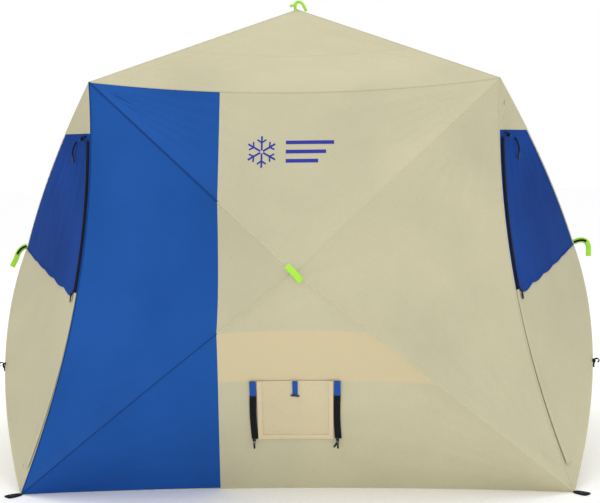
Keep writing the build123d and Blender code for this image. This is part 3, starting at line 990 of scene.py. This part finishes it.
def anchor_tabs():
    """Webbing tab at each base corner: narrow at the cloth and wide at its end, with an eyelet."""
    hole, radius, steps = math.sqrt(2) * BASE_HALF + 0.038, 0.0075, 24
    low, high, power = 0.0006, 0.0050, 0.45
    circle = [(math.cos(a), math.sin(a)) for a in spaced(0, 2 * math.pi, steps)[:-1]]
    outline = []
    for x, y in circle:
        reach = 0.024 if x > 0 else 0.040
        half = 0.021 - 0.009 * max(-x, 0)
        outline.append((reach * math.copysign(abs(x) ** power, x), half * math.copysign(abs(y) ** power, y)))
    inner = [(radius * x, radius * y) for x, y in circle]
    for number in range(4):
        turn = Matrix.Rotation(math.radians(90 * number + 225), 4, "Z")
        bm = bmesh.new()
        low_out, low_in, top_out, top_in = (
            [bm.verts.new((hole + x, y, z)) for x, y in line]
            for z in (low, high) for line in (outline, inner))
        for k in range(steps):
            n = (k + 1) % steps
            bm.faces.new((top_out[k], top_out[n], top_in[n], top_in[k]))
            bm.faces.new((low_out[n], low_out[k], low_in[k], low_in[n]))
            bm.faces.new((low_out[k], low_out[n], top_out[n], top_out[k]))
            bm.faces.new((low_in[n], low_in[k], top_in[k], top_in[n]))
        bm.transform(turn)
        tab = from_bmesh(bm, f"anchor_tab_{number}", black_web, False)
        edge = tab.modifiers.new("edge", "BEVEL")
        edge.width, edge.segments = 0.0012, 2
        apply_modifiers(tab)
        bm = bmesh.new()
        torus_into(bm, (0, 0, 0), 0.0082, 0.0020, ring=32, around=10)
        bm.transform(turn @ Matrix.Translation((hole, 0, 0.0048)) @ Matrix.Rotation(math.pi / 2, 4, "X"))
        for obj in (tab, from_bmesh(bm, f"anchor_eyelet_{number}", black_metal)):
            belong(obj, "canopy", "black_webbing", "anchor_tabs")


def guy_loops():
    """Small webbing loops with a knot, on the side walls' lower rods."""
    for side in ("left", "right"):
        for name, lean in (("left", -1), ("right", 1)):
            spot = cloth_point(PANELS[name], 0.0, 0.47)
            ring = [spot + NORMAL * (0.013 - 0.013 * math.cos(a)) + UP * (0.008 * math.sin(a))
                    + arr(lean * 0.004 * math.sin(2 * a), 0, 0)
                    for a in map(math.radians, spaced(-60, 240, 14))]
            knot = [spot + NORMAL * c + UP * b + arr(a, 0, 0) for a, b, c in (
                (0.004, 0.006, 0.003), (-0.004, 0.002, 0.008), (0.004, -0.004, 0.008), (0.000, -0.014, 0.004),
                (-0.004, -0.024, 0.004))]
            for part, points, across, width, depth in (
                ("loop", ring, arr(1, 0, 0.3), 0.010, 0.0035),
                ("knot", curve_points(knot, 5), arr(1, 0, 0), 0.011, 0.006),
            ):
                *points, across = turned([*points, across], side)
                strap = strap_mesh(f"{side}_guy_{part}_{name}", points, across, width, depth, black_web)
                belong(strap, "canopy", "black_webbing", "guy_loops")


def seams():
    """Seams over the rods, bindings on the edges and the ring seam of the roof."""
    pairs = (("top", "left", 0, 1, "upper_left"), ("top", "right", 1, 1, "upper_right"),
             ("bottom", "left", 0, 0, "lower_left"), ("bottom", "right", 1, 0, "lower_right"))
    roof_panel = PANELS["roof"]
    for number, side in enumerate(TURN):
        for first, second, a, b, name in pairs:
            ends = (PANELS[first], PANELS[second], a, b, side)
            if side == "front" and name.endswith("left"):
                level = 1 if first == "top" else 0
                share = 1 - seam_crossing(level)[0] / wall_corner(-1, level)[0]
                rod_seam(f"front_seam_{name}_blue", *ends, seam_blue, (0, share))
                rod_seam(f"front_seam_{name}_beige", *ends, seam_beige, (share, 1))
            else:
                rod_seam(f"{side}_seam_{name}", *ends, seam_beige)
        rod_seam(f"roof_seam_{side}", roof_panel, roof_panel, 0, 0, side, seam_beige)
        mat, slot = (seam_blue, "blue_cloth") if side == "front" else (beige, "beige_cloth")
        for name, panel, ends, lift, out, mat, slot, width, thickness in (
            ("eave_binding", "top", (0, 1), 0.0, NORMAL + UP, beige, "beige_cloth", 0.006, 0.0022),
            ("upright_binding", "left", (0.004, 1), 0.0, arr(-1, -1, 0), mat, slot, 0.006, 0.0022),
            ("hem", "bottom", (0.004, 0.996), 0.007, arr(0, -1, 0), seam_beige, "beige_cloth", 0.014, 0.0018),
        ):
            line = [cloth_point(PANELS[panel], t, 0.0) + UP * lift for t in spaced(*ends, 80)]
            edge_ribbon(f"{side}_{name}", line, unit(out), side, mat, slot, width, thickness)
        ring = [cloth(roof_panel, t, ROOF_SEAM_V, ROOF_SEED + number) for t in spaced(0, 1, 60)]
        slope = unit(cloth_point(roof_panel, 0.5, 0.6) - cloth_point(roof_panel, 0.5, 0.3))
        up = turn_point(np.cross(unit(ring[-1] - ring[0]), slope), side)
        slope = turn_point(slope, side)
        strip = seam_strip(f"roof_ring_{side}", turned(ring, side), [(-slope, slope)] * len(ring),
                           up if up[2] > 0 else -up, seam_beige, 0.008, 0.0012)
        thicken(strip, 0.0006)
        bend_with_hub(strip, roof_panel)


def emblem():
    """Generic printed mark: a six-armed ice crystal with three plain stripes beside it."""
    verts, faces = [], []

    def bar(x0, z0, dx, dz, width):
        """Flat bar on the cloth from x0, z0, as far as dx, dz."""
        share, base, count = width / 2 / math.hypot(dx, dz), len(verts), 6
        for along in spaced(0, 1, count):
            for edge in (share, -share):
                place = on_front("top", x0 + dx * along - dz * edge, z0 + dz * along + dx * edge)
                verts.append(cloth(*place, 0) + NORMAL * 0.0009)
        faces.extend((a, a + 2, a + 3, a + 1) for a in range(base, base + 2 * count, 2))

    x, z, arm, twig = -0.120, 1.262, 0.058, 0.020
    for a in map(math.radians, range(30, 390, 60)):
        ux, uz = math.cos(a), math.sin(a)
        bar(x + ux * 0.006, z + uz * 0.006, ux * (arm - 0.006), uz * (arm - 0.006), 0.0065)
        for b in (a - math.radians(55), a + math.radians(55)):
            bar(x + ux * arm * 0.58, z + uz * arm * 0.58, math.cos(b) * twig, math.sin(b) * twig, 0.0055)
    for lift, length in ((0.034, 0.180), (0.0, 0.150), (-0.034, 0.120)):
        bar(-0.030, z + lift, length, 0.0, 0.013)
    obj = add_mesh("front_print", verts, faces, print_blue)
    facing_out(obj)
    thicken(obj, 0.0004)
    bend_with_hub(obj, PANELS["top"])


def cad_materials():
    """Better surfaces on the CAD nodes that show."""
    for name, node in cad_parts.items():
        if "_rod_" in name:
            mat = rod_glass
        elif name.endswith("_pins"):
            mat = bright_metal
        elif name.endswith("_hub"):
            mat = black_plastic
        else:
            continue
        node.data.materials.clear()
        node.data.materials.append(mat)


# Stage

STUDIO_SIDES = 0.66         # brightness of the studio's sides and front, against its white back and top
CAMERA_AT = (0.106, -5.773, 1.292)
CAMERA_TURN = (1.0207, -4.7305, 0.555)   # yaw, pitch and roll in degrees
CAMERA_LENS = 2.177833      # focal length over the picture's width


def stage():
    """White floor, a studio that is brightest behind and above, and three area lights."""
    mat, tree, bsdf = new_material("pale_floor")
    connect(tree, bsdf, {"Base Color": (0.96, 0.96, 0.96, 1), "Roughness": 0.8,
                         "Emission Color": (1, 1, 1, 1), "Emission Strength": 0.06})
    floor = add_mesh("floor", [(-30, -30, 0), (30, -30, 0), (30, 30, 0), (-30, 30, 0)], [(0, 1, 2, 3)], mat)
    world = bpy.data.worlds.new("studio")
    bpy.context.scene.world = world
    world.use_nodes = True
    tree = world.node_tree
    place = add_node(tree, "TexCoord", {}).outputs["Generated"]
    way = add_node(tree, "SeparateXYZ", {"Vector": place}).outputs
    higher = maths(tree, "MAXIMUM", way["Y"], way["Z"])
    inputs = {"Value": higher, "From Min": 0.0, "From Max": 0.7, "To Min": STUDIO_SIDES}
    studio = add_node(tree, "MapRange", inputs)
    connect(tree, tree.nodes["Background"], {"Strength": studio.outputs["Result"], "Color": (1, 1, 1, 1)})
    for name, place, aim, size, power in (
        ("key", (-0.8, -6.0, 2.6), (0, 0, 0.6), 4.0, 24),
        ("fill", (0.8, -4.6, 0.9), (0, 0, 0.2), 2.0, 12),
        ("top", (0.0, 0.5, 6.0), (0, 0, 0.5), 5.0, 78),
    ):
        light = bpy.data.lights.new(name, "AREA")
        light.size = size
        light.energy = power
        lamp = bpy.data.objects.new(name, light)
        lamp.location = place
        lamp.rotation_euler = (Vector(aim) - Vector(place)).to_track_quat("-Z", "Y").to_euler()
        bpy.context.scene.collection.objects.link(lamp)


def camera():
    """Straight view of the front wall from just under six metres, a little above the hub."""
    data = bpy.data.cameras.new("camera")
    data.sensor_width = 36
    data.lens = CAMERA_LENS * data.sensor_width
    data.clip_end = 200
    obj = bpy.data.objects.new("camera", data)
    yaw, pitch, roll = (math.radians(angle) for angle in CAMERA_TURN)
    look = Vector((-math.sin(yaw) * math.cos(pitch), math.cos(yaw) * math.cos(pitch), math.sin(pitch)))
    turn = look.to_track_quat("-Z", "Y").to_matrix().to_4x4()
    obj.matrix_world = Matrix.Translation(CAMERA_AT) @ turn @ Matrix.Rotation(-roll, 4, "Z")
    bpy.context.scene.collection.objects.link(obj)
    bpy.context.scene.camera = obj


camera()
stage()
front_pieces()
plain_walls()
roof()
door_side("left", "right")
door_side("right", "left")
vent()
pull_straps()
seams()
emblem()
anchor_tabs()
guy_loops()
cad_materials()
bpy.context.scene.view_settings.view_transform = "Standard"
